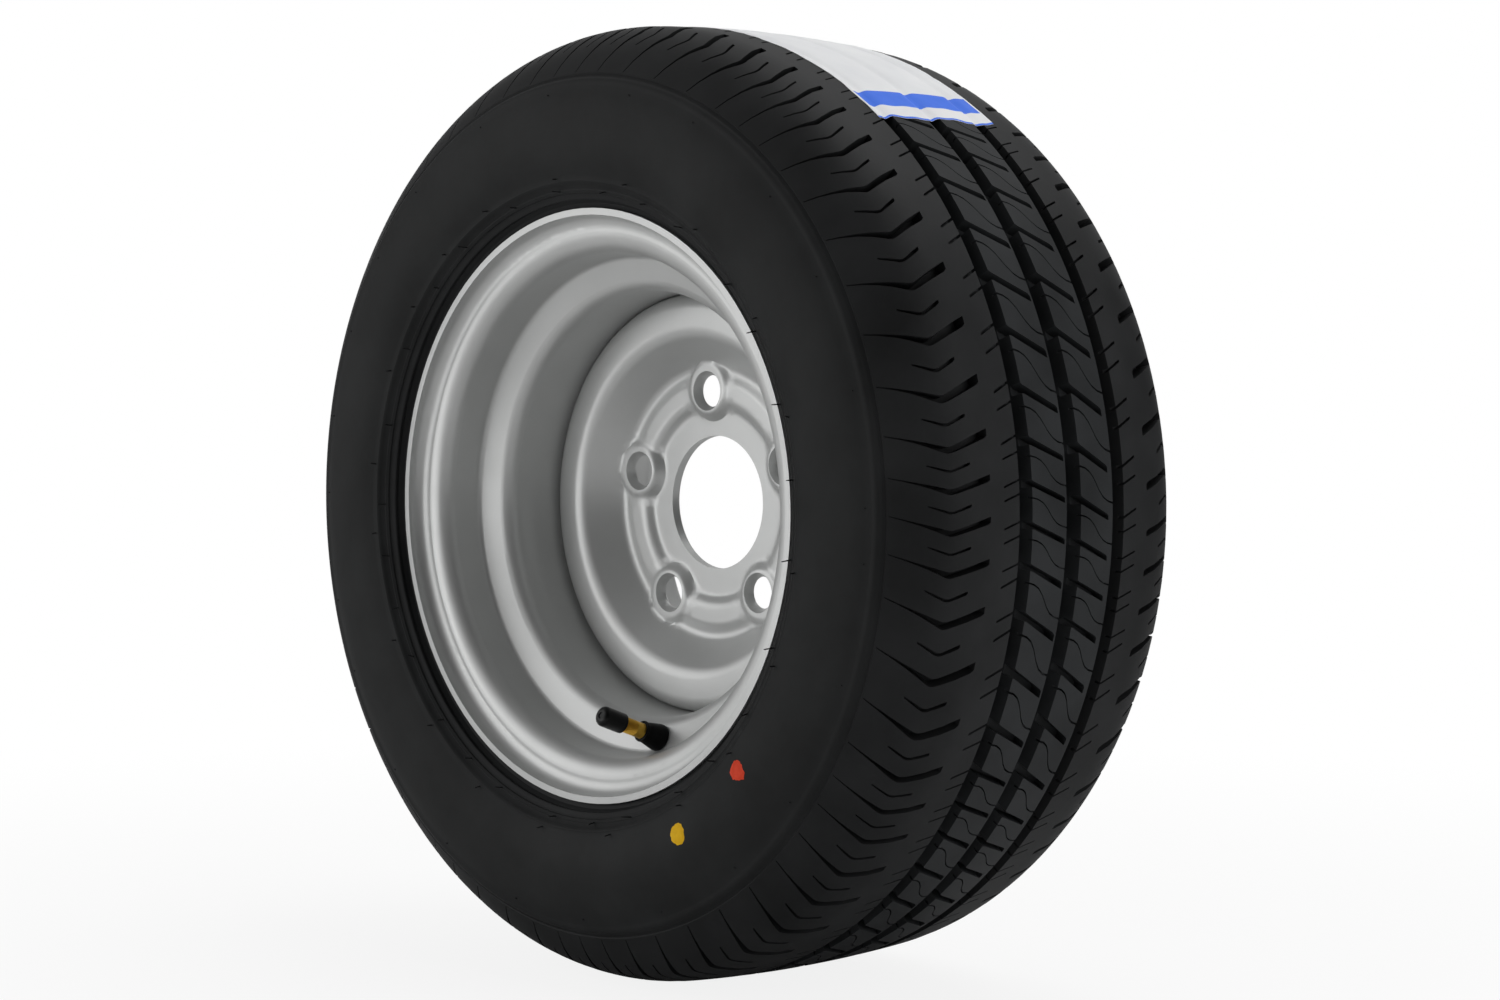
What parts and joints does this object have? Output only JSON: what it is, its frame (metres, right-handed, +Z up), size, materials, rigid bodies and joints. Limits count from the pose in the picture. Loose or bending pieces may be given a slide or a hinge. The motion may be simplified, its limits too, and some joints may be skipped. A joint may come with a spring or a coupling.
{
  "type": "wheel and tyre assembly",
  "caption": "Small trailer wheel: a wide low tyre on a silver steel rim with a pressed, offset disc, a snap-in valve with a screw cap, and a paper label stuck on the tread.",
  "frame": {"origin": "wheel centre: on the axle line, in the middle plane of the rim and tyre", "axes": "+Y along the axle towards the hub, so the outer face looks along -Y; +Z up"},
  "size_m": [0.4684, 0.201, 0.4689],
  "materials": {
    "tyre_rubber": "satin moulded rubber",
    "silver_paint": "silver metallic paint",
    "black_rubber": "smooth moulded rubber",
    "brass": "turned brass",
    "seal_plastic": "smooth",
    "spring_steel": "drawn wire",
    "black_plastic": "moulded",
    "label_paper": "coated paper with a blue border"
  },
  "bodies": {
    "wheel": {"tyre": "tyre_rubber", "rim": "silver_paint", "disc": "silver_paint", "disc_welds": "silver_paint", "valve_rubber": "black_rubber", "valve_stem": "brass", "core_plug": "brass", "core_barrel": "brass", "barrel_gasket": "seal_plastic", "core_spring": "spring_steel", "tread_label": "label_paper"},
    "core": {"core_pin": "brass", "core_cup": "brass", "cup_seal": "black_rubber"},
    "cap_lift": {"cap_seal": "black_rubber"},
    "cap": {"valve_cap": "black_plastic"}
  },
  "joints": [
    {"name": "core_press", "type": "slide", "parent": "wheel", "child": "core", "axis": [0.0524, 0.9336, -0.3545], "range_m": [0, 0.0014], "stiffness_N_per_m": 800, "springref_m": -0.001, "deforming": ["core_spring"]},
    {"name": "cap_rise", "type": "slide", "parent": "wheel", "child": "cap_lift", "axis": [-0.0524, -0.9336, 0.3545], "range_m": [0, 0.00635]},
    {"name": "cap_turn", "type": "hinge", "parent": "cap_lift", "child": "cap", "pos_m": [0.01677, -0.05287, -0.11357], "axis": [-0.0524, -0.9336, 0.3545], "range_deg": [0, 2880]}
  ],
  "couplings": [
    {"joint": "cap_turn", "follows": "cap_rise", "rad_per_m": 7913.3}
  ]
}
